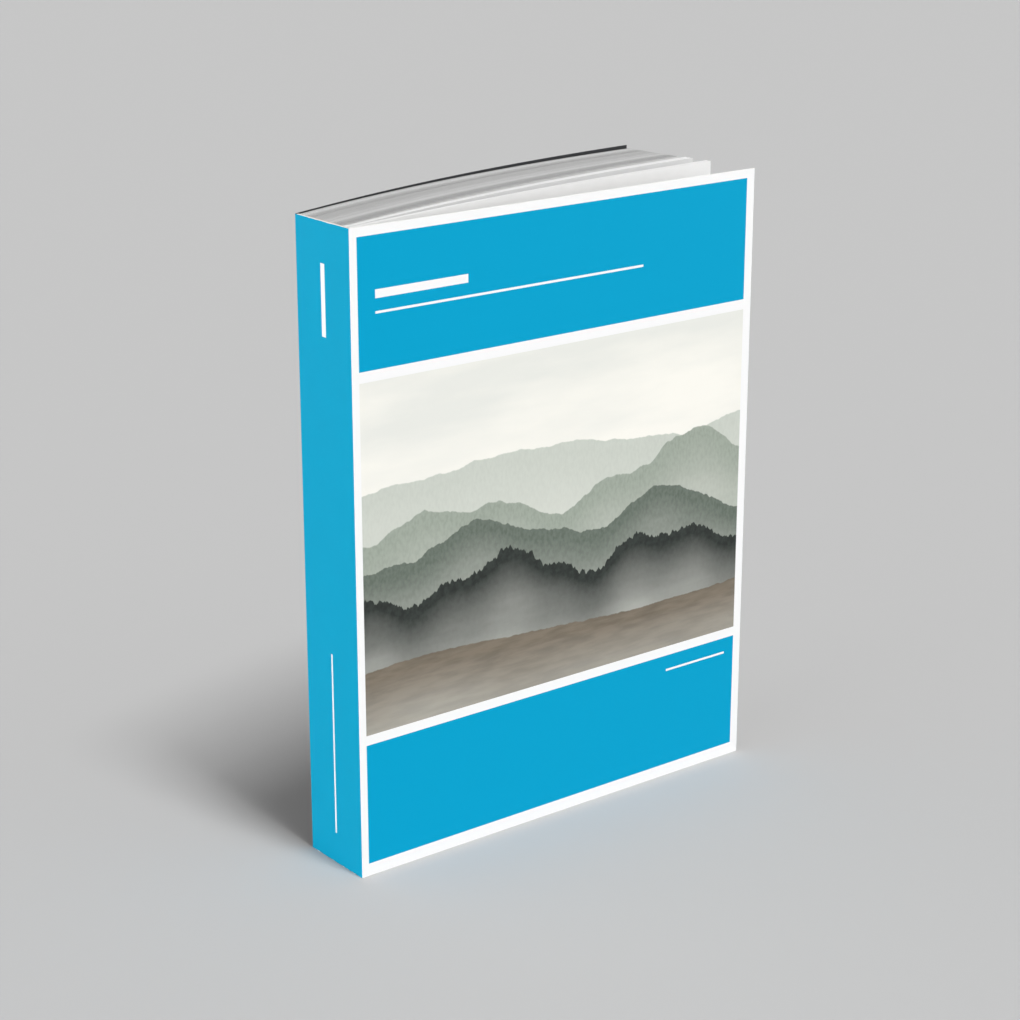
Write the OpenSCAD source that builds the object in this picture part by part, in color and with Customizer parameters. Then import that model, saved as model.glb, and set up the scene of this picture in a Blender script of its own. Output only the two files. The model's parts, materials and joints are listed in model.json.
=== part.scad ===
// Thick softcover catalogue standing on its tail edge with the front cover ajar.
// X runs from the spine to the fore-edge, Y from the front cover to the back, Z up.

/* [Cover] */
// Width of each cover, from the spine fold to the fore-edge
cover_w = 216; // [150:1:260]
// Height of the cover and of the leaves
cover_h = 279; // [200:1:340]
// Thickness of the cover card
card_t = 0.5; // [0.3:0.1:0.8]
// Gap between the spine card and a cover card along the scored fold
fold_clear = 0.3; // [0.2:0.1:0.6]

/* [Spine] */
// Width across the spine, over both cover cards
spine_w = 38; // [30:1:60]
// Thickness of the glue and lining between the spine card and the leaves
lining_t = 0.8; // [0.5:0.1:1.5]
// Gap between the cover cards and the outermost leaves at the spine
edge_clear = 0.6; // [0.4:0.1:1]

/* [Block] */
// Number of tight sections in the block
section_count = 14; // [8:1:20]
// Gap between neighbouring sections where they lie closest
leaf_clear = 0.1; // [0.06:0.02:0.2]

/* [Loose leaves] */
// Number of thin packs of loose leaves between the front cover and the block
pack_count = 5; // [3:1:7]
// Number of those packs that stand forward, in a group of their own
forward_count = 2; // [1:1:2]
// Thickness of one pack
pack_t = 0.6; // [0.3:0.05:0.65]
// Room that each pack takes along the spine
pack_pitch = 1; // [0.95:0.05:1.4]
// Distance from the glue to the line where the first pack bends
bend_l = 1.5; // [1.2:0.1:3]
// How much further from the glue each next pack bends
bend_step = 0.6; // [0.4:0.05:0.7]
// Gap between a pack and its glued margin at the bend
bend_clear = 0.1; // [0.1:0.05:0.3]

/* [Lean] */
// Direction in which the back cover leaves the spine, in degrees
lean_root = 20; // [10:1:22]
// Direction of the back cover at the fore-edge
lean_tip = 3; // [1:1:8]
// Share of that lean in the first of the forward packs
forward_share = 0.6; // [0.5:0.02:0.64]
// Share of that lean in the first of the packs behind them
rear_share = 0.8; // [0.74:0.02:0.82]
// Share of that lean that each next pack of a group adds
share_step = 0.02; // [0.01:0.005:0.03]
// Share of that lean in the first section of the block
block_share = 0.93; // [0.92:0.01:0.98]

/* [Hidden] */
$fa = 0.5;
$fs = 0.2;

cover_blue = [0.01, 0.64, 0.82];
cover_white = [0.97, 0.97, 0.96];
cover_dark = [0.16, 0.16, 0.17];
leaf_white = [0.93, 0.92, 0.90];
glue_grey = [0.80, 0.79, 0.76];

root_x = card_t + lining_t;
leaf_l = cover_w - root_x;
block_y = card_t + edge_clear + pack_count * pack_pitch;
section_pitch = (spine_w - card_t - edge_clear - block_y) / section_count;

// Leaning sections lie closer together than their roots do.
section_t = section_pitch * cos(lean_root) - leaf_clear;

// Radius of a sheet of length l whose direction turns evenly through the lean.
function bend_r(l, share) = l / ((lean_root - lean_tip) * share * PI / 180);
function bend_axis(root, l, share) =
    root + bend_r(l, share) * [sin(lean_root * share), -cos(lean_root * share)];
function tip(root, l, share) =
    bend_axis(root, l, share) + bend_r(l, share) * [-sin(lean_tip * share), cos(lean_tip * share)];

// The covers fold about the outer corners of the spine, (0, 0) and (0, spine_w).
back_root = [0, spine_w] + card_t / 2 * [sin(lean_root), -cos(lean_root)];
depth = tip(back_root, cover_w, 1).y + card_t / 2 * cos(lean_tip);
centre = [cover_w / 2, depth / 2, 0];

// Each pack hinges on its bend line, and the bend lines step away from the glue.
function margin_l(i) = bend_l + i * bend_step;
function pack_y(i) = card_t + edge_clear + (i + 0.5) * pack_pitch;
function pack_root(i) = [root_x + margin_l(i), pack_y(i)];
function pack_share(i) =
    i < forward_count
        ? forward_share + i * share_step
        : rear_share + (i - forward_count) * share_step;

function section_root(i) = [root_x, block_y + (i + 0.5) * section_pitch];
function section_share(i) = block_share + (1 - block_share) * i / (section_count - 1);

function pack_name(i) = str("leaf_pack_", i + 1);
function section_name(i) = str("section_", i < 9 ? "0" : "", i + 1);

// Upright sheet of thickness t on an even bend, reaching lap degrees back past its root.
module bent_sheet(root, l, t, share, lap = 0) {
    r = bend_r(l, share);
    axis = bend_axis(root, l, share);
    translate([axis.x, axis.y, 0])
        rotate(90 + lean_tip * share)
        rotate_extrude(angle = (lean_root - lean_tip) * share + lap)
        translate([r - t / 2, 0])
        square([t, cover_h]);
}

module front_cover() {
    color(cover_white)
        translate(-centre)
        cube([cover_w, card_t, cover_h]);
}

module spine() {
    color(cover_blue)
        translate(-centre)
        translate([0, card_t + fold_clear, 0])
        cube([card_t, spine_w - 2 * (card_t + fold_clear), cover_h]);
}

module back_cover() {
    color(cover_dark)
        translate(-centre)
        bent_sheet(back_root, cover_w, card_t, 1);
}

module spine_lining() {
    color(glue_grey)
        translate(-centre)
        translate([card_t, card_t + edge_clear, 0])
        cube([lining_t, spine_w - 2 * (card_t + edge_clear), cover_h]);
}

// Glued strips of the loose packs, from the lining to their bend lines.
module leaf_margins() {
    color(leaf_white)
        translate(-centre)
        for (i = [0 : pack_count - 1])
            translate([root_x, pack_y(i) - pack_t / 2, 0])
                cube([margin_l(i) - pack_t / 2 - bend_clear, pack_t, cover_h]);
}

module leaf_pack(i) {
    color(leaf_white)
        translate(-centre)
        bent_sheet(pack_root(i), leaf_l - margin_l(i), pack_t, pack_share(i));
}

// Section of the block, its back trimmed flat against the lining.
module section(i) {
    share = section_share(i);
    lap = 180 / PI * section_t / bend_r(leaf_l, share);
    color(leaf_white)
        translate(-centre)
        intersection() {
            bent_sheet(section_root(i), leaf_l, section_t, share, lap);
            translate([root_x, 0, 0])
                cube([cover_w, depth, cover_h]);
        }
}

front_cover();
spine();
back_cover();
spine_lining();
leaf_margins();
for (i = [0 : pack_count - 1])
    leaf_pack(i);
for (i = [0 : section_count - 1])
    section(i);
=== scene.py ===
"""Thick softcover catalogue standing on its tail edge with the front cover ajar.

All lengths are in metres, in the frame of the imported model: X runs from the spine to the
fore-edge, Y from the front cover to the back cover, and Z up from the tail.
"""

import json
import math
import random

import bmesh
import bpy
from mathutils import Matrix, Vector
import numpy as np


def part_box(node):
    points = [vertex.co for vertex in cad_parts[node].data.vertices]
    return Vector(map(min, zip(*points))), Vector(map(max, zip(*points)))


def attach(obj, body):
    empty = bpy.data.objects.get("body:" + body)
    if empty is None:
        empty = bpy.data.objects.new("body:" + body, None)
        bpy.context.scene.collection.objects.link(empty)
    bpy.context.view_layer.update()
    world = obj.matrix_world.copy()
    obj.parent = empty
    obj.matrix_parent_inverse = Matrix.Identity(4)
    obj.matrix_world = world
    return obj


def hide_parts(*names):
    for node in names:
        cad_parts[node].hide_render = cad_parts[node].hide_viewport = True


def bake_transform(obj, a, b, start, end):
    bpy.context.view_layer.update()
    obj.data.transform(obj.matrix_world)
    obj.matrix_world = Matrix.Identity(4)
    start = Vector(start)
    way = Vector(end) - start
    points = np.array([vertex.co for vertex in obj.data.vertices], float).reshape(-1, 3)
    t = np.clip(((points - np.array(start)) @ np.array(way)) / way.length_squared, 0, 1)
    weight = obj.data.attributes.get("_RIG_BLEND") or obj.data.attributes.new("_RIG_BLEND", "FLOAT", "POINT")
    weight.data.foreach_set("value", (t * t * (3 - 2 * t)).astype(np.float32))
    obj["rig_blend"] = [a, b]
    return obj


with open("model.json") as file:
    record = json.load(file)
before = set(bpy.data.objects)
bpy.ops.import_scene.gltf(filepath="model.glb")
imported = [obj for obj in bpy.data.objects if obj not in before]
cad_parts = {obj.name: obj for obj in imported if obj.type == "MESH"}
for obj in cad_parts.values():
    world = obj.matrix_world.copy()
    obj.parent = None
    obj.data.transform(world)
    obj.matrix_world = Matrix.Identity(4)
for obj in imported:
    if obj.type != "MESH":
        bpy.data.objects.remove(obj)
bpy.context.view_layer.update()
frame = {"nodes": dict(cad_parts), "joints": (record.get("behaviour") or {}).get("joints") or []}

MM = 0.001

# Places and sizes that the frame gives
hinges = {joint["name"]: Vector(joint["pos_m"]) for joint in frame["joints"]}
pack_names = sorted(name for name in frame["nodes"] if name.startswith("leaf_pack_"))
section_names = sorted(name for name in frame["nodes"] if name.startswith("section_"))
cover_low, cover_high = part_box("front_cover")
_, lining_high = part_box("spine_lining")
cover_w, card_t, book_h = cover_high - cover_low
spine_x = cover_low.x
front_y = cover_low.y
back_y = hinges["back_cover_fold"].y
spine_w = back_y - front_y
glue_x = lining_high.x
leaf_l = cover_high.x - glue_x
pack_roots = [hinges[name + "_turn"] for name in pack_names]
pack_pitch = pack_roots[1].y - pack_roots[0].y
block_y = pack_roots[-1].y + pack_pitch / 2
section_pitch = (lining_high.y - block_y) / len(section_names)

# Lean of the leaves at the spine and at the fore-edge, and each group's share of it
LEAN_ROOT = math.radians(20)
LEAN_TIP = math.radians(3)
FORWARD_COUNT = 2
FORWARD_SHARE = 0.6
REAR_SHARE = 0.8
SHARE_STEP = 0.02
BLOCK_SHARE = 0.93

# Cover card: the round corner at a fold, the strip of the spine that belongs to a cover's sheet,
# the reach past the corner that bends when a cover turns, and the rubbed trim
FOLD_R = 0.6 * MM
FOLD_STEPS = 6
STRIP = 1.2 * MM
STRIP_STEPS = 2
FOLD_REACH = 2.0 * MM
REACH_STEPS = 4
CARD_STEPS = 12
RUBBED = 0.18 * MM

# Leaves of the sections and of the loose packs. A leaf fills a share of its room, and the outer
# leaves of a pack fan out a little by the fore-edge.
SECTION_LEAVES = 12
PACK_LEAVES = 4
PACK_T = 0.6 * MM
LEAF_FILL = 0.82
LEAF_STEPS = 20
BEND_L = 1.0 * MM
BEND_STEPS = 5
PACK_FAN = 0.3 * MM
FAN_SPREAD = 0.15
LENGTH_SPREAD = 0.12 * MM
LEAF_SEED = 41

# Head of the leaves: how far it lies below the cover's, and how far it sags by the fore-edge
HEAD_DROP = 0.11 * MM
DROP_WANDER = 0.066 * MM
DROP_SPREAD = 0.044 * MM
DROP_SEED = 2.0
PACK_DROP = 0.132 * MM
BLOCK_SAG = (0.5 * MM, 1.2 * MM)
PACK_SAG = 0.3 * MM

# Tone of the leaves, from 0 (dark) to 1 (light): painted light and shade in bands across the block,
# for leaves that catch the light or lie in shade, over a random spread. A band of the block has its
# place, as a share of the way from the front to the back, its half width and its strength.
BLOCK_TINT = 0.54
TINT_WANDER = 0.06
TINT_SEED = 10.9
TINT_SPREAD = 0.06
TINT_BANDS = ((0.10, 0.06, -0.11), (0.27, 0.07, 0.13), (0.75, 0.07, -0.10), (0.93, 0.06, 0.16))
PACK_TINT = 0.95
PACK_TINT_SPREAD = 0.05
# Tone of the first leaf behind the forward group: painted shade for the gap in front of it
GAP_SHADE_TINT = 0.6

# Waves of a slow wander: strength, pace and phase
SLOW_WAVES = ((0.4, 5.3, 1.0), (0.4, 10.7, 2.1), (0.2, 31.0, 3.7))

# Map of a sheet laid flat, the places of its finishes, and the angle past which an edge is sharp
UNFOLDED = "unfolded"
LEFT_SIDE, RIGHT_SIDE, CUT_EDGE = range(3)
SHARP_ANGLE = math.radians(30)

dice = random.Random(LEAF_SEED)


def mix_value(a, b, share):
    """Value that lies that share of the way from a to b."""
    return a + (b - a) * share


def slow_wave(place, seed):
    """Smooth wander between -1 and 1, for bands that cross many leaves."""
    return sum(strength * math.sin(place * pace + phase * seed) for strength, pace, phase in SLOW_WAVES)


# Sheets of card and paper

def new_sheet_mesh():
    """Empty mesh whose points keep their run along the sheet, their side of it and its tint."""
    bm = bmesh.new()
    for name in ("run", "side", "tint"):
        bm.verts.layers.float.new(name)
    return bm


def draw_sheet(bm, start, heading, thickness, height, legs, run=0.0, tint=1.0, cut=None, sag=0.0):
    """Carries an upright profile along its legs, which leaves a closed sheet.

    A leg is (length, turn, steps): straight where turn is 0, or else a bend to the left, and to
    the right where turn is below 0. cut is the direction that the first edge faces, where it
    isn't square to the sheet. sag is how far the head drops by the end.
    """
    run_of, side_of, tint_of = (bm.verts.layers.float[name] for name in ("run", "side", "tint"))
    facing = heading if cut is None else cut
    across = Vector((-math.sin(facing), math.cos(facing), 0)) / math.cos(heading - facing)
    ring = []
    for side, z in ((1, 0), (1, height), (-1, height), (-1, 0)):
        vert = bm.verts.new(Vector((*start, z)) + across * side * thickness / 2)
        vert[run_of], vert[side_of], vert[tint_of] = run, side, tint
        ring.append(vert)
    face = bm.faces.new(ring)
    sheet_l = sum(length for length, _, _ in legs)
    for length, turn, steps in legs:
        for _ in range(steps):
            if turn:
                left = Vector((-math.sin(heading), math.cos(heading), 0))
                moved = bmesh.ops.spin(
                    bm,
                    geom=[face, *face.edges, *face.verts],
                    cent=face.calc_center_median() + left * length / turn,
                    axis=(0, 0, 1),
                    angle=turn / steps,
                    steps=1,
                )["geom_last"]
            else:
                forward = Vector((math.cos(heading), math.sin(heading), 0))
                moved = bmesh.ops.extrude_face_region(bm, geom=[face])["geom"]
                verts = [item for item in moved if isinstance(item, bmesh.types.BMVert)]
                bmesh.ops.translate(bm, vec=forward * length / steps, verts=verts)
            heading += turn / steps
            run += length / steps
            face = next(item for item in moved if isinstance(item, bmesh.types.BMFace))
            for vert in face.verts:
                vert[run_of] = run
            head = [vert for vert in face.verts if vert.co.z > height / 2]
            bmesh.ops.translate(bm, vec=(0, 0, -sag * length / steps / sheet_l), verts=head)


def sheet_piece(name, bm, left_finish, right_finish, edge_finish):
    """Finishes a mesh of sheets: a finish for each side and the cut edges, and the unfolded map."""
    run_of, side_of = (bm.verts.layers.float[layer] for layer in ("run", "side"))
    unfolded = bm.loops.layers.uv.new(UNFOLDED)
    bmesh.ops.recalc_face_normals(bm, faces=bm.faces)
    for face in bm.faces:
        sides = {round(vert[side_of]) for vert in face.verts}
        face.material_index = CUT_EDGE if len(sides) > 1 else LEFT_SIDE if 1 in sides else RIGHT_SIDE
        face.smooth = True
        for loop in face.loops:
            loop[unfolded].uv = loop.vert[run_of], loop.vert.co.z
    mesh = bpy.data.meshes.new(name)
    bm.to_mesh(mesh)
    bm.free()
    mesh.set_sharp_from_angle(angle=SHARP_ANGLE)
    for finish in (left_finish, right_finish, edge_finish):
        mesh.materials.append(finish)
    piece = bpy.data.objects.new(name, mesh)
    bpy.context.scene.collection.objects.link(piece)
    return piece


# Node trees

# Part of its range from 0 to 1 that a noise texture mostly stays in
NOISE_SPAN = (0.3, 0.7)


class Wiring:
    """Adds nodes to one tree. A value that is an output is linked, and any other is set."""

    def __init__(self, tree):
        self.tree = tree

    def put(self, socket, value):
        if isinstance(value, bpy.types.NodeSocket):
            self.tree.links.new(value, socket)
        else:
            socket.default_value = value

    def add(self, kind, inputs=None, **settings):
        node = self.tree.nodes.new(kind)
        for name, value in settings.items():
            setattr(node, name, value)
        for name, value in (inputs or {}).items():
            self.put(node.inputs[name], value)
        return node

    def maths(self, operation, *values):
        node = self.add("ShaderNodeMath", dict(enumerate(values)), operation=operation)
        return node.outputs[0]

    def blend(self, factor, first, second):
        # Only their numbers tell the colour sockets of a mix node apart.
        inputs = {0: factor, 6: first, 7: second}
        node = self.add("ShaderNodeMix", inputs, data_type="RGBA")
        return node.outputs[2]

    def remap(self, value, low, high, to_low=0.0, to_high=1.0, kind="LINEAR"):
        inputs = {"Value": value, 1: low, 2: high, 3: to_low, 4: to_high}
        node = self.add("ShaderNodeMapRange", inputs, interpolation_type=kind)
        return node.outputs["Result"]

    def noise(self, vector, scale, detail):
        inputs = {"Vector": vector, "Scale": scale, "Detail": detail}
        return self.add("ShaderNodeTexNoise", inputs).outputs["Fac"]

    def spread(self, noise, to_low=0.0, to_high=1.0):
        return self.remap(noise, *NOISE_SPAN, to_low, to_high)

    def group(self, tree, **inputs):
        node = self.add("ShaderNodeGroup", node_tree=tree)
        for name, value in inputs.items():
            self.put(node.inputs[name], value)
        return node.outputs


def new_group(name, inputs, outputs):
    """Node group with named values in and out, and the wiring to fill it."""
    tree = bpy.data.node_groups.new(name, "ShaderNodeTree")
    for socket in inputs:
        kind = "NodeSocketVector" if socket == "Vector" else "NodeSocketFloat"
        tree.interface.new_socket(socket, in_out="INPUT", socket_type=kind)
    for socket in outputs:
        tree.interface.new_socket(socket, in_out="OUTPUT", socket_type="NodeSocketFloat")
    wires = Wiring(tree)
    return tree, wires, wires.add("NodeGroupInput").outputs, wires.add("NodeGroupOutput").inputs


def new_finish(name, **plain):
    """Material with its shader, whose plain values are set on the shader's own sockets."""
    finish = bpy.data.materials.new(name)
    finish.use_nodes = True
    wires = Wiring(finish.node_tree)
    shader = finish.node_tree.nodes["Principled BSDF"]
    for socket, value in plain.items():
        shader.inputs[socket.replace("_", " ")].default_value = value
    return finish, wires, shader.inputs


def ink(red, green, blue):
    """Linear colour of a printed tone that is given on the usual 0 to 255 scale."""
    tones = [tone / 255 for tone in (red, green, blue)]
    return (*[t / 12.92 if t <= 0.04045 else ((t + 0.055) / 1.055) ** 2.4 for t in tones], 1.0)


def bump(wires, height, distance, strength):
    """Normal of a surface that rises and falls by that height."""
    inputs = {"Height": height, "Distance": distance, "Strength": strength}
    return wires.add("ShaderNodeBump", inputs).outputs["Normal"]


def unfolded_place(wires):
    """Place on the unfolded sheet: the map itself, the run from the fold and the height."""
    place = wires.add("ShaderNodeUVMap", uv_map=UNFOLDED).outputs["UV"]
    parts = wires.add("ShaderNodeSeparateXYZ", {"Vector": place}).outputs
    return place, parts["X"], parts["Y"]


def leaf_tint(wires):
    """Tone of a leaf, from 0 to 1: painted light and shade, with a random spread."""
    return wires.add("ShaderNodeAttribute", attribute_name="tint").outputs["Fac"]


# Marks of the finishes: scales are in marks to the metre, and depths are how far they rise
HANDLING_SCALE = 24.0
FILM_ROUGHNESS = (0.42, 0.54)
FILM_SCALE = 900.0
FILM_DEPTH = 0.01 * MM
CLOUDING_SCALE = 160.0
FIBRE_SCALE = 2600.0
FIBRE_DEPTH = 0.015 * MM
RUBBED_SCALE = 260.0
RUBBED_SPAN = (0.48, 0.72)
SPINE_TONE_SCALE = 60.0
BACK_TONE_SCALE = 45.0
GLUE_SCALE = 420.0
GLUE_ROUGHNESS = (0.35, 0.6)
GLUE_DEPTH = 0.1 * MM

# Tone of the leaves: the margin at the head that gets painted shade, the painted shade on the edges of the
# head, and streaks in the cut edges
SHADED_MARGIN = 12 * MM
HEAD_SHADE_POWER = 2.2
SHADED_HEAD_RISE = 0.5
STREAK_SCALE = 14.0
STREAK_SHIFT = 30.0
STREAK_TONE = 0.08

# Crests of the printed hills, the growth on their slopes, and the streaks of mist and sky
RIDGE_SCALE = 1.0
KNOLL_SCALE = 6.0
KNOLL_SHARE = 0.12
TREE_SCALE = 28.0
CREST_BLUR = 0.0015
GROWTH_ROWS = 60.0
GROWTH_SPAN = (0.38, 0.66)
GROWTH_SHADE = 0.5
STREAK_STRETCH = (9.0, 40.0, 1.0)
SKY_WANDER = 0.25
SKY_FADE = (0.6, 1.05)
MIST_DEPTH = (0.03, 0.32)
MIST_MOST = 0.7
MIST_SPAN = (0.25, 0.75)
MIST_PATCHES = (0.55, 1.25)

# Printed layout of the cover, in millimetres from the spine fold and from the tail
BAND_X = (3.6, 211.7)
HEAD_BAND_Z = (220.6, 275.1)
VIEW_Z = (64.3, 216.0)
TAIL_BAND_Z = (5.7, 59.9)
COVER_RULES = (
    ((12, 152), (243.4, 244.4)),
    ((12, 58), (249.6, 253.2)),
    ((170, 206), (52.2, 53.2)),
)
SPINE_RULES = (
    ((17.6, 20.4), (232, 262)),
    ((18.5, 19.5), (14, 96)),
)

# Colours of the print, the card, the paper and the glue
COVER_BLUE = ink(0, 162, 206)
SPINE_BLUE = ink(0, 162, 202)
SPINE_CLOUD = ink(0, 160, 200)
PRINT_WHITE = ink(249, 249, 249)
CHARCOAL = ink(55, 56, 58)
SOFT_CHARCOAL = ink(61, 62, 64)
CARD_WHITE = ink(243, 242, 238)
CARD_CLOUD = ink(240, 239, 235)
PAPER_WHITE = ink(248, 248, 248)
PAPER_CLOUD = ink(245, 245, 245)
# Painted shade that a page takes near its head
PAPER_SHADED = ink(178, 178, 177)
EDGE_WHITE = ink(238, 238, 237)
EDGE_GREY = ink(116, 116, 116)
GLUE_PALE = ink(214, 210, 200)
GLUE_DARK = ink(190, 184, 170)
SKY_HIGH = ink(233, 234, 228)
SKY_LOW = ink(250, 248, 240)
MIST = ink(228, 229, 221)

# Ranges of the printed view, from the furthest to the nearest: the values of its shape, the
# strength of the growth on it, and its tone
HILL_SHAPE = ("Crest", "Swing", "Scale", "Seed", "Fringe", "Grain")
HILLS = (
    ((0.70, 0.20, 2.2, 3.7, 0.004, 190.0), 0.10, ink(205, 210, 201)),
    ((0.58, 0.26, 2.8, 11.2, 0.006, 160.0), 0.25, ink(164, 173, 161)),
    ((0.47, 0.28, 2.4, 23.9, 0.012, 130.0), 0.45, ink(114, 124, 114)),
    ((0.36, 0.30, 3.1, 37.5, 0.030, 100.0), 0.65, ink(62, 67, 64)),
    ((0.17, 0.10, 1.6, 51.3, 0.008, 14.0), 0.50, ink(132, 122, 108)),
)


# Effects that the finishes place with their own values

def laminate_group():
    """Thin plastic film: broad handling marks in its gloss and a fine uneven skin."""
    tree, wires, given, made = new_group("laminate_film", ["Vector"], ["Roughness", "Height"])
    marks = wires.noise(given["Vector"], HANDLING_SCALE, detail=3.0)
    wires.put(made["Roughness"], wires.spread(marks, *FILM_ROUGHNESS))
    wires.put(made["Height"], wires.noise(given["Vector"], FILM_SCALE, detail=1.0))
    return tree


def fibre_group():
    """Paper stock: matted fibres as a height, and the faint clouding of the sheet as a shade."""
    tree, wires, given, made = new_group("paper_fibre", ["Vector"], ["Shade", "Height"])
    wires.put(made["Shade"], wires.spread(wires.noise(given["Vector"], CLOUDING_SCALE, detail=3.0)))
    wires.put(made["Height"], wires.noise(given["Vector"], FIBRE_SCALE, detail=3.0))
    return tree


def rubbed_edge_group():
    """Rubbed trim of a cover: 1 where the colour is worn away, in short uneven runs."""
    inputs = ["Vector", "Up", "Inset", "Reach"]
    tree, wires, given, made = new_group("rubbed_edge", inputs, ["Mask"])
    from_head = wires.maths("SUBTRACT", book_h, given["Up"])
    nearest = wires.maths("MINIMUM", given["Up"], from_head)
    nearest = wires.maths("MINIMUM", nearest, given["Inset"])
    patchy = wires.remap(wires.noise(given["Vector"], RUBBED_SCALE, detail=4.0), *RUBBED_SPAN)
    reach = wires.maths("MULTIPLY", given["Reach"], patchy)
    wires.put(made["Mask"], wires.maths("LESS_THAN", nearest, reach))
    return tree


def hill_group():
    """One range of printed hills: where it covers, the depth below its crest, and its growth."""
    inputs = ["Across", "Up", *HILL_SHAPE]
    tree, wires, given, made = new_group("hill_range", inputs, ["Mask", "Depth", "Growth"])
    along = wires.maths("MULTIPLY_ADD", given["Across"], given["Scale"], given["Seed"])

    def wander(amount, scale, detail):
        inputs = {"W": along, "Scale": scale, "Detail": detail}
        noise = wires.add("ShaderNodeTexNoise", inputs, noise_dimensions="1D").outputs["Fac"]
        return wires.maths("MULTIPLY", wires.maths("SUBTRACT", noise, 0.5), amount)

    smooth_crest = wires.maths("ADD", given["Crest"], wander(given["Swing"], RIDGE_SCALE, detail=1.0))
    knoll_swing = wires.maths("MULTIPLY", given["Swing"], KNOLL_SHARE)
    crest = wires.maths("ADD", smooth_crest, wander(knoll_swing, KNOLL_SCALE, detail=3.0))
    crest = wires.maths("ADD", crest, wander(given["Fringe"], TREE_SCALE, detail=2.0))
    depth = wires.maths("SUBTRACT", crest, given["Up"])
    wires.put(made["Mask"], wires.remap(depth, -CREST_BLUR, CREST_BLUR))
    wires.put(made["Depth"], wires.maths("SUBTRACT", smooth_crest, given["Up"]))
    spot = {
        "X": wires.maths("MULTIPLY", given["Across"], given["Grain"]),
        "Y": wires.maths("MULTIPLY", given["Up"], GROWTH_ROWS),
        "Z": given["Seed"],
    }
    place = wires.add("ShaderNodeCombineXYZ", spot).outputs["Vector"]
    wires.put(made["Growth"], wires.remap(wires.noise(place, scale=1.0, detail=4.0), *GROWTH_SPAN))
    return tree


laminate_film = laminate_group()
paper_fibre = fibre_group()
rubbed_edge = rubbed_edge_group()
hill_range = hill_group()


# Finishes

def inside(wires, value, limits):
    """1 where value lies between limits, which are in millimetres."""
    low, high = limits
    return wires.maths("COMPARE", value, (low + high) / 2 * MM, (high - low) / 2 * MM)


def panel(wires, run, up, limits_x, limits_z):
    """1 inside a printed rectangle."""
    return wires.maths("MULTIPLY", inside(wires, run, limits_x), inside(wires, up, limits_z))


def add_rules(wires, colour, run, up, rules):
    """Plain white rules over a printed colour."""
    for limits_x, limits_z in rules:
        colour = wires.blend(panel(wires, run, up, limits_x, limits_z), colour, PRINT_WHITE)
    return colour


def printed_view(wires, place, run, up):
    """Misty hills under a pale sky, as they are printed on the cover."""
    across = wires.remap(run, BAND_X[0] * MM, BAND_X[1] * MM)
    rise = wires.remap(up, VIEW_Z[0] * MM, VIEW_Z[1] * MM)
    stretched = wires.add("ShaderNodeMapping", {"Vector": place, "Scale": STREAK_STRETCH})
    streaks = wires.noise(stretched.outputs["Vector"], scale=1.0, detail=5.0)
    sky = wires.maths("ADD", rise, wires.spread(streaks, -SKY_WANDER, SKY_WANDER))
    colour = wires.blend(wires.remap(sky, *SKY_FADE), SKY_LOW, SKY_HIGH)
    patches = wires.remap(streaks, *MIST_SPAN, *MIST_PATCHES)
    for shape, growth, tone in HILLS:
        hill = wires.group(hill_range, Across=across, Up=rise, **dict(zip(HILL_SHAPE, shape)))
        mist = wires.remap(hill["Depth"], *MIST_DEPTH, 0.0, MIST_MOST)
        mist = wires.maths("MULTIPLY", mist, patches)
        shaded = (*[part * GROWTH_SHADE for part in tone[:3]], 1.0)
        land = wires.blend(wires.maths("MULTIPLY", hill["Growth"], growth), tone, shaded)
        colour = wires.blend(hill["Mask"], colour, wires.blend(mist, land, MIST))
    return colour


def film_finish(name, paint):
    """Printed and laminated card. paint gives the colour from the wires, map, run and height."""
    finish, wires, shader = new_finish(name, Specular_IOR_Level=0.06)
    place, run, up = unfolded_place(wires)
    film = wires.group(laminate_film, Vector=place)
    inset = wires.maths("SUBTRACT", cover_w, run)
    rubbed = wires.group(rubbed_edge, Vector=place, Up=up, Inset=inset, Reach=RUBBED)
    colour = wires.blend(rubbed["Mask"], paint(wires, place, run, up), CARD_WHITE)
    wires.put(shader["Base Color"], colour)
    wires.put(shader["Roughness"], film["Roughness"])
    wires.put(shader["Normal"], bump(wires, film["Height"], FILM_DEPTH, strength=0.25))
    return finish


def paint_front(wires, place, run, up):
    """White card with two blue bands, a view between them and rules, and blue round the fold."""
    colour = wires.blend(panel(wires, run, up, BAND_X, HEAD_BAND_Z), PRINT_WHITE, COVER_BLUE)
    colour = wires.blend(panel(wires, run, up, BAND_X, TAIL_BAND_Z), colour, COVER_BLUE)
    view = printed_view(wires, place, run, up)
    colour = wires.blend(panel(wires, run, up, BAND_X, VIEW_Z), colour, view)
    colour = add_rules(wires, colour, run, up, COVER_RULES)
    return wires.blend(wires.maths("LESS_THAN", run, fold_run), colour, SPINE_BLUE)


def paint_spine(wires, place, run, up):
    """Blue with rules along the spine."""
    tone = wires.spread(wires.noise(place, SPINE_TONE_SCALE, detail=3.0))
    colour = wires.blend(tone, SPINE_BLUE, SPINE_CLOUD)
    return add_rules(wires, colour, run, up, SPINE_RULES)


def paint_back(wires, place, run, up):
    """Charcoal, with the blue of the spine round the fold."""
    tone = wires.spread(wires.noise(place, BACK_TONE_SCALE, detail=4.0))
    colour = wires.blend(tone, CHARCOAL, SOFT_CHARCOAL)
    return wires.blend(wires.maths("LESS_THAN", run, back_fold_run), colour, SPINE_BLUE)


def paper_shade(wires, place, light, shade):
    """Clouded colour of bare stock, and the normal of its fibres."""
    fibre = wires.group(paper_fibre, Vector=place)
    colour = wires.blend(fibre["Shade"], light, shade)
    return colour, bump(wires, fibre["Height"], FIBRE_DEPTH, strength=0.4)


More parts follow.
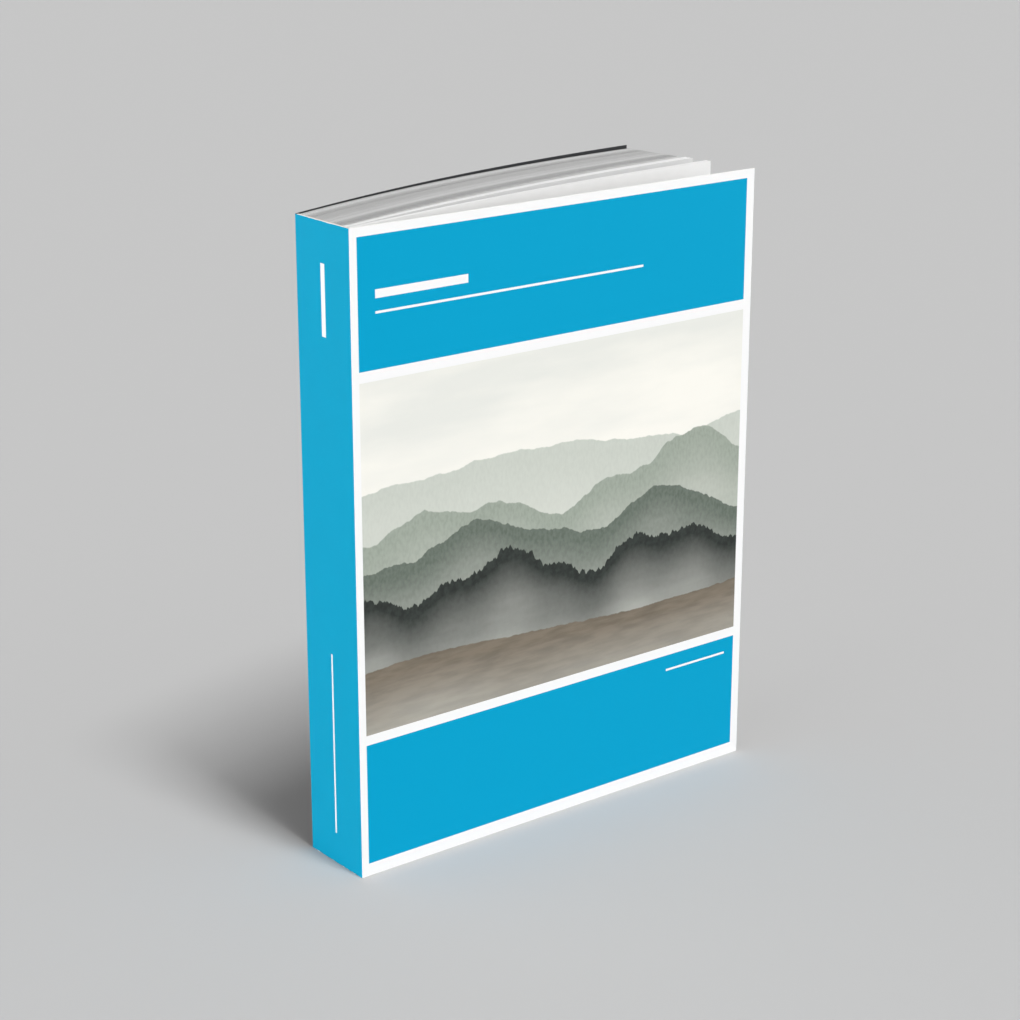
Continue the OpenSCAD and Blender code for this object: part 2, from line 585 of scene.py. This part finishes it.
def card_finish(name, light, shade):
    """Bare or dyed card."""
    finish, wires, shader = new_finish(name, Roughness=0.86, Specular_IOR_Level=0.2)
    colour, normal = paper_shade(wires, unfolded_place(wires)[0], light, shade)
    wires.put(shader["Base Color"], colour)
    wires.put(shader["Normal"], normal)
    return finish


def leaf_face_finish():
    """Page side of a leaf. A darker leaf gets painted shade towards its head, for the shade between leaves.
    """
    finish, wires, shader = new_finish("leaf_face", Roughness=0.86, Specular_IOR_Level=0.2)
    place, _, up = unfolded_place(wires)
    colour, normal = paper_shade(wires, place, PAPER_WHITE, PAPER_CLOUD)
    # Painted shade near the head of the page, deeper for a darker leaf
    gap_shade = wires.maths("SUBTRACT", 1.0, leaf_tint(wires))
    near_head = wires.remap(up, book_h - SHADED_MARGIN, book_h, kind="SMOOTHSTEP")
    painted_shade = wires.maths("MULTIPLY", gap_shade, near_head)
    wires.put(shader["Base Color"], wires.blend(painted_shade, colour, PAPER_SHADED))
    wires.put(shader["Normal"], normal)
    return finish


def leaf_edge_finish():
    """Cut edges, each leaf with its own long streaks, and greyer where they face up at the head, which is
    painted shade.
    """
    finish, wires, shader = new_finish("leaf_edge", Roughness=0.9, Specular_IOR_Level=0.1)
    _, run, up = unfolded_place(wires)
    tint = leaf_tint(wires)
    normal = wires.add("ShaderNodeNewGeometry").outputs["Normal"]
    facing_up = wires.add("ShaderNodeSeparateXYZ", {"Vector": normal}).outputs["Z"]
    # Painted shade: edges that face up, at the head, are darkened by raising their tone to a power
    shaded_head = wires.maths("GREATER_THAN", facing_up, SHADED_HEAD_RISE)
    tone = wires.maths("POWER", tint, wires.remap(shaded_head, 0.0, 1.0, 1.0, HEAD_SHADE_POWER))
    own_streaks = wires.maths("MULTIPLY", tint, STREAK_SHIFT)
    along = wires.add("ShaderNodeCombineXYZ", {"X": run, "Y": up, "Z": own_streaks})
    streaks = wires.noise(along.outputs["Vector"], STREAK_SCALE, detail=2.0)
    tone = wires.maths("ADD", tone, wires.spread(streaks, -STREAK_TONE, STREAK_TONE))
    wires.put(shader["Base Color"], wires.blend(tone, EDGE_GREY, EDGE_WHITE))
    return finish


def glue_finish():
    """Lumpy dried glue at the back of the leaves."""
    finish, wires, shader = new_finish("binding_glue", Specular_IOR_Level=0.4)
    place = wires.add("ShaderNodeTexCoord").outputs["Object"]
    lumps = wires.noise(place, GLUE_SCALE, detail=3.0)
    wires.put(shader["Base Color"], wires.blend(lumps, GLUE_PALE, GLUE_DARK))
    wires.put(shader["Roughness"], wires.spread(lumps, *GLUE_ROUGHNESS))
    wires.put(shader["Normal"], bump(wires, lumps, GLUE_DEPTH, strength=0.5))
    return finish


# The run of each cover starts at its fold, whose rounded corner it crosses first.
fold_l = (FOLD_R - card_t / 2) * math.pi / 2
fold_run = FOLD_R - fold_l / 2
back_turn = math.pi / 2 - LEAN_ROOT
back_fold_l = (FOLD_R - card_t / 2) * back_turn
back_tangent = FOLD_R * math.tan(back_turn / 2)
back_fold_run = back_tangent - back_fold_l / 2

front_print = film_finish("front_print", paint_front)
spine_print = film_finish("spine_print", paint_spine)
back_print = film_finish("back_print", paint_back)
card_inside = card_finish("card_inside", CARD_WHITE, CARD_CLOUD)
dyed_card = card_finish("dyed_card", SOFT_CHARCOAL, CHARCOAL)
leaf_face = leaf_face_finish()
leaf_edge = leaf_edge_finish()


# Pieces of the book

def make_front_cover():
    """Flat front cover, with its fold and a strip of the spine."""
    bm = new_sheet_mesh()
    legs = [
        (STRIP - FOLD_R, 0, STRIP_STEPS),
        (fold_l, math.pi / 2, FOLD_STEPS),
        (FOLD_REACH, 0, REACH_STEPS),
        (cover_w - FOLD_R - FOLD_REACH, 0, CARD_STEPS),
    ]
    start = (spine_x + card_t / 2, front_y + STRIP)
    draw_sheet(bm, start, -math.pi / 2, card_t, book_h, legs, run=2 * FOLD_R - fold_l - STRIP)
    piece = sheet_piece("front_cover_card", bm, card_inside, front_print, card_inside)
    fold_start = (spine_x, front_y + STRIP, 0)
    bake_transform(piece, "block", "front_cover", fold_start, (spine_x + FOLD_REACH, front_y, 0))
    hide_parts("front_cover")


def make_spine():
    """Spine card between the strips of the two covers."""
    bm = new_sheet_mesh()
    start = (spine_x + card_t / 2, front_y + STRIP)
    legs = [(spine_w - 2 * STRIP, 0, CARD_STEPS)]
    draw_sheet(bm, start, math.pi / 2, card_t, book_h, legs, run=STRIP)
    piece = sheet_piece("spine_card", bm, spine_print, card_inside, card_inside)
    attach(piece, "block")
    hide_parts("spine")


def make_back_cover():
    """Back cover on the bend of the block, with its fold and a strip of the spine."""
    bm = new_sheet_mesh()
    bent_l = cover_w - back_tangent
    bend = -(LEAN_ROOT - LEAN_TIP) / cover_w
    legs = [
        (STRIP - back_tangent, 0, STRIP_STEPS),
        (back_fold_l, -back_turn, FOLD_STEPS),
        (FOLD_REACH, FOLD_REACH * bend, REACH_STEPS),
        (bent_l - FOLD_REACH, (bent_l - FOLD_REACH) * bend, 2 * CARD_STEPS),
    ]
    start = (spine_x + card_t / 2, back_y - STRIP)
    run = 2 * back_tangent - back_fold_l - STRIP
    draw_sheet(bm, start, math.pi / 2, card_t, book_h, legs, run=run)
    piece = sheet_piece("back_cover_card", bm, back_print, dyed_card, dyed_card)
    lean = Vector((math.cos(LEAN_ROOT), math.sin(LEAN_ROOT), 0))
    fold_end = Vector((spine_x, back_y, 0)) + lean * FOLD_REACH
    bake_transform(piece, "block", "back_cover", (spine_x, back_y - STRIP, 0), fold_end)
    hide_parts("back_cover")


def block_tint(across):
    """Tone of a leaf of the block, at a share of the way from its front to its back: painted light and shade
    in bands, over a slow wander.
    """
    bands = (
        strength * math.exp(-(((across - place) / half_width) ** 2))
        for place, half_width, strength in TINT_BANDS
    )
    return BLOCK_TINT + TINT_WANDER * slow_wave(across, TINT_SEED) + sum(bands)


def make_section(index, name):
    """One section of the tight block, leaf by leaf, trimmed flat against the lining."""
    bm = new_sheet_mesh()
    leaf_pitch = section_pitch / SECTION_LEAVES
    for leaf in range(SECTION_LEAVES):
        place = index + (leaf + 0.5) / SECTION_LEAVES
        across = (place - 0.5) / (len(section_names) - 1)
        share = mix_value(BLOCK_SHARE, 1, across)
        heading = LEAN_ROOT * share
        length = leaf_l + dice.uniform(-1, 1) * LENGTH_SPREAD
        turn = -(LEAN_ROOT - LEAN_TIP) * share
        drop = HEAD_DROP + DROP_WANDER * slow_wave(across, DROP_SEED) + DROP_SPREAD * dice.random()
        # Painted light and shade: bands of lighter and darker leaves across the head
        tint = block_tint(across) + TINT_SPREAD * dice.uniform(-1, 1)
        draw_sheet(
            bm,
            (glue_x, block_y + place * section_pitch),
            heading,
            LEAF_FILL * leaf_pitch * math.cos(heading),
            book_h - drop,
            [(length, turn, LEAF_STEPS)],
            tint=tint,
            cut=0.0,
            sag=mix_value(*BLOCK_SAG, across),
        )
    piece = sheet_piece(name + "_leaves", bm, leaf_face, leaf_face, leaf_edge)
    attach(piece, "block")
    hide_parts(name)


def pack_share(index):
    """Share of the lean in a loose pack, of the forward group or of the one behind it."""
    if index < FORWARD_COUNT:
        return FORWARD_SHARE + index * SHARE_STEP
    return REAR_SHARE + (index - FORWARD_COUNT) * SHARE_STEP


def make_pack(index, name):
    """One pack of loose leaves, which bends where it leaves the glued margin.

    The first leaf behind the forward group is darker, as painted shade for the gap in front of it.
    A leaf's tip moves by half its length times the angle that fans it out.
    """
    bm = new_sheet_mesh()
    root = pack_roots[index]
    share = pack_share(index)
    heading = LEAN_ROOT * share
    margin_l = root.x - glue_x
    leaf_pitch = PACK_T / PACK_LEAVES
    for leaf in range(PACK_LEAVES):
        across = (leaf + 0.5) / PACK_LEAVES - 0.5
        bent_l = leaf_l - margin_l - BEND_L / 2 + dice.uniform(-1, 1) * LENGTH_SPREAD
        fan = (2 * across + FAN_SPREAD * dice.uniform(-1, 1)) * 2 * PACK_FAN / bent_l
        legs = [
            (margin_l - BEND_L / 2, 0, 1),
            (BEND_L, heading, BEND_STEPS),
            (bent_l, -(LEAN_ROOT - LEAN_TIP) * share + fan, LEAF_STEPS),
        ]
        start = (glue_x, root.y + across * PACK_T)
        height = book_h - PACK_DROP * dice.random()
        tint = PACK_TINT + PACK_TINT_SPREAD * dice.uniform(-1, 1)
        # Painted shade: the first leaf behind the forward group is darkened for the gap in front of it
        if index == FORWARD_COUNT and leaf == 0:
            tint = GAP_SHADE_TINT
        draw_sheet(bm, start, 0.0, LEAF_FILL * leaf_pitch, height, legs, tint=tint, sag=PACK_SAG)
    piece = sheet_piece(name + "_leaves", bm, leaf_face, leaf_face, leaf_edge)
    bend_half = Vector((BEND_L / 2, 0, 0))
    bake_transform(piece, "block", name, root - bend_half, root + bend_half)
    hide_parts(name, "leaf_margins")


make_front_cover()
make_spine()
make_back_cover()
for number, section_name in enumerate(section_names):
    make_section(number, section_name)
for number, pack_name in enumerate(pack_names):
    make_pack(number, pack_name)
lining = frame["nodes"]["spine_lining"].data.materials
lining.clear()
lining.append(glue_finish())


# Stage: a plain floor, a row of soft lamps overhead, an even room with low panels, and the camera

FLOOR_SIZE = 40.0
FLOOR_GAP = 0.1 * MM
FLOOR_GREY = ink(184, 184, 184)
ROOM_GREY = ink(198, 198, 198)
ROOM_STRENGTH = 0.26
KEY_STRENGTH = 2.62
KEY_SPREAD = math.radians(10)
KEY_HEIGHTS = [math.radians(height) for height in (61, 69, 77)]
KEY_SIDE = math.radians(5)

# Direction and strength of each panel, and how its light fades to the sides and upwards
PANELS = (((-0.94, 0.34, 0.0), 5.9), ((0.0, -1.0, 0.0), 1.2), ((0.94, -0.34, 0.0), 2.4))
PANEL_SIDES = (0.35, 0.9)
PANEL_HEIGHT = (0.38, 0.08)

CAMERA_PLACE = (-0.6236, -0.80286, 0.4656)
CAMERA_TILT = math.radians(71.83)
CAMERA_TURN = math.radians(-37.97)
CAMERA_LENS = 84.77
CAMERA_SENSOR = 36.0


def make_floor():
    """Plain floor, a little below the tail."""
    bm = bmesh.new()
    bmesh.ops.create_grid(bm, x_segments=1, y_segments=1, size=FLOOR_SIZE / 2)
    bmesh.ops.translate(bm, vec=(0, 0, -FLOOR_GAP), verts=bm.verts)
    mesh = bpy.data.meshes.new("floor")
    bm.to_mesh(mesh)
    bm.free()
    plain = dict(Base_Color=FLOOR_GREY, Roughness=0.9, Specular_IOR_Level=0.0)
    finish, _, _ = new_finish("studio_floor", **plain)
    mesh.materials.append(finish)
    floor = bpy.data.objects.new("floor", mesh)
    bpy.context.scene.collection.objects.link(floor)


def make_room():
    """Even room light with low soft panels on three sides. Camera and gloss see plain grey."""
    world = bpy.data.worlds.new("room")
    world.use_nodes = True
    bpy.context.scene.world = world
    wires = Wiring(world.node_tree)
    direction = wires.add("ShaderNodeTexCoord").outputs["Generated"]
    rise = wires.add("ShaderNodeSeparateXYZ", {"Vector": direction}).outputs["Z"]
    panels = 0.0
    for place, panel_strength in PANELS:
        along = wires.add("ShaderNodeVectorMath", {0: direction, 1: place}, operation="DOT_PRODUCT")
        towards = wires.remap(along.outputs["Value"], *PANEL_SIDES, kind="SMOOTHSTEP")
        panels = wires.maths("MULTIPLY_ADD", towards, panel_strength, panels)
    low = wires.remap(rise, *PANEL_HEIGHT, kind="SMOOTHSTEP")
    strength = wires.maths("MULTIPLY_ADD", panels, low, ROOM_STRENGTH)
    path = wires.add("ShaderNodeLightPath").outputs
    seen = wires.maths("MAXIMUM", path["Is Camera Ray"], path["Is Glossy Ray"])
    seen = wires.maths("MAXIMUM", seen, path["Is Transmission Ray"])
    light = wires.add("ShaderNodeBackground", {"Color": (1, 1, 1, 1), "Strength": strength})
    backdrop = wires.add("ShaderNodeBackground", {"Color": ROOM_GREY, "Strength": 1.0})
    shown = wires.add("ShaderNodeMixShader", {0: seen, 1: light.outputs[0], 2: backdrop.outputs[0]})
    wires.put(world.node_tree.nodes["World Output"].inputs["Surface"], shown.outputs[0])


def make_key_lights():
    """Row of lamps overhead, from the front to the back."""
    for height in KEY_HEIGHTS:
        light = bpy.data.lights.new("key", "SUN")
        light.energy = KEY_STRENGTH / len(KEY_HEIGHTS)
        light.angle = KEY_SPREAD
        key = bpy.data.objects.new("key", light)
        key.rotation_euler = (math.pi / 2 - height, 0, KEY_SIDE)
        bpy.context.scene.collection.objects.link(key)


def make_camera():
    """Camera at the photograph's viewing angle."""
    data = bpy.data.cameras.new("camera")
    data.sensor_width = CAMERA_SENSOR
    data.lens = CAMERA_LENS
    camera = bpy.data.objects.new("camera", data)
    camera.location = CAMERA_PLACE
    camera.rotation_euler = (CAMERA_TILT, 0, CAMERA_TURN)
    bpy.context.scene.collection.objects.link(camera)
    bpy.context.scene.camera = camera


make_floor()
make_room()
make_key_lights()
make_camera()
bpy.context.scene.view_settings.view_transform = "Standard"
